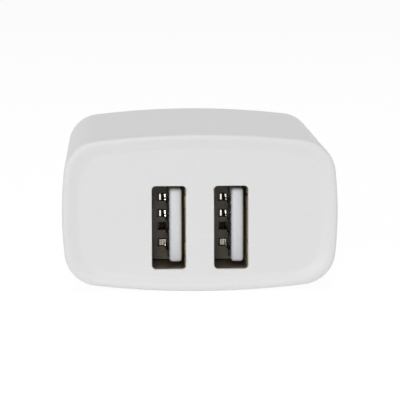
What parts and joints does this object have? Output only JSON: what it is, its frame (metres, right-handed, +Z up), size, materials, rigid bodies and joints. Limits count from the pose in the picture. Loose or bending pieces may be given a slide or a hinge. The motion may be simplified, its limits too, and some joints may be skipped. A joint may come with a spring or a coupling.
{
  "type": "usb wall charger",
  "caption": "White barrel-sided wall charger with upright USB-A sockets side by side in its front face and a folding flat-blade mains plug in its rear face.",
  "frame": {"origin": "centre of the flat rear face that meets the wall outlet", "axes": "+Y into the wall along the open blades, +X along the body's width, +Z up across its height, with the sockets facing -Y"},
  "size_m": [0.0412, 0.0655, 0.0236],
  "materials": {
    "white_shell": "fine satin moulding",
    "white_cover": "satin moulding",
    "white_tongue": "satin moulding",
    "dark_plastic": "dark matt moulding",
    "black_plastic": "matt moulding",
    "port_steel": "nickel-plated sheet",
    "plated_contact": "tin-plated phosphor bronze",
    "nickel_brass": "nickel plated",
    "spring_brass": "rolled strip",
    "spring_steel": "rolled strip",
    "zinc_steel": "zinc plated",
    "circuit_board": "green solder mask on glass laminate",
    "ferrite": "ground ferrite",
    "taped_winding": "copper winding under yellow tape",
    "copper_wire": "enamelled copper",
    "black_sleeve": "black shrink sleeve",
    "green_sleeve": "green shrink sleeve",
    "grey_lacquer": "grey lacquer",
    "black_epoxy": "moulded epoxy",
    "blue_dip": "dipped resin"
  },
  "bodies": {
    "charger": {"housing": "white_shell", "rear_cover": "white_cover", "hinge_retainer": "white_cover", "retainer_screw_1": "zinc_steel", "retainer_screw_2": "zinc_steel", "mains_spring_line": "spring_brass", "mains_spring_neutral": "spring_brass", "detent_spring": "spring_steel", "main_board": "circuit_board", "output_board": "circuit_board", "transformer_bobbin": "black_plastic", "transformer_core_lower": "ferrite", "transformer_core_upper": "ferrite", "transformer_winding": "taped_winding", "input_capacitor_1": "black_sleeve", "input_capacitor_2": "black_sleeve", "output_capacitor_1": "green_sleeve", "output_capacitor_2": "green_sleeve", "filter_choke_core": "ferrite", "filter_choke_winding": "copper_wire", "fuse_resistor": "grey_lacquer", "output_diode": "black_epoxy", "safety_capacitor": "blue_dip", "bridge_rectifier": "black_epoxy", "optocoupler": "black_epoxy", "controller_chip": "black_epoxy", "port_a_shell": "port_steel", "port_a_base": "dark_plastic", "port_a_tongue": "white_tongue", "port_a_contact_1": "plated_contact", "port_a_contact_2": "plated_contact", "port_a_contact_3": "plated_contact", "port_a_contact_4": "plated_contact", "port_b_shell": "port_steel", "port_b_base": "dark_plastic", "port_b_tongue": "white_tongue", "port_b_contact_1": "plated_contact", "port_b_contact_2": "plated_contact", "port_b_contact_3": "plated_contact", "port_b_contact_4": "plated_contact"},
    "plug": {"blade_carrier": "white_cover", "blade_line": "nickel_brass", "blade_neutral": "nickel_brass"}
  },
  "joints": [
    {"name": "blade_fold", "type": "hinge", "parent": "charger", "child": "plug", "pos_m": [-0.006, -0.0036, 0], "axis": [0, 0, -1], "range_deg": [0, 90]}
  ]
}
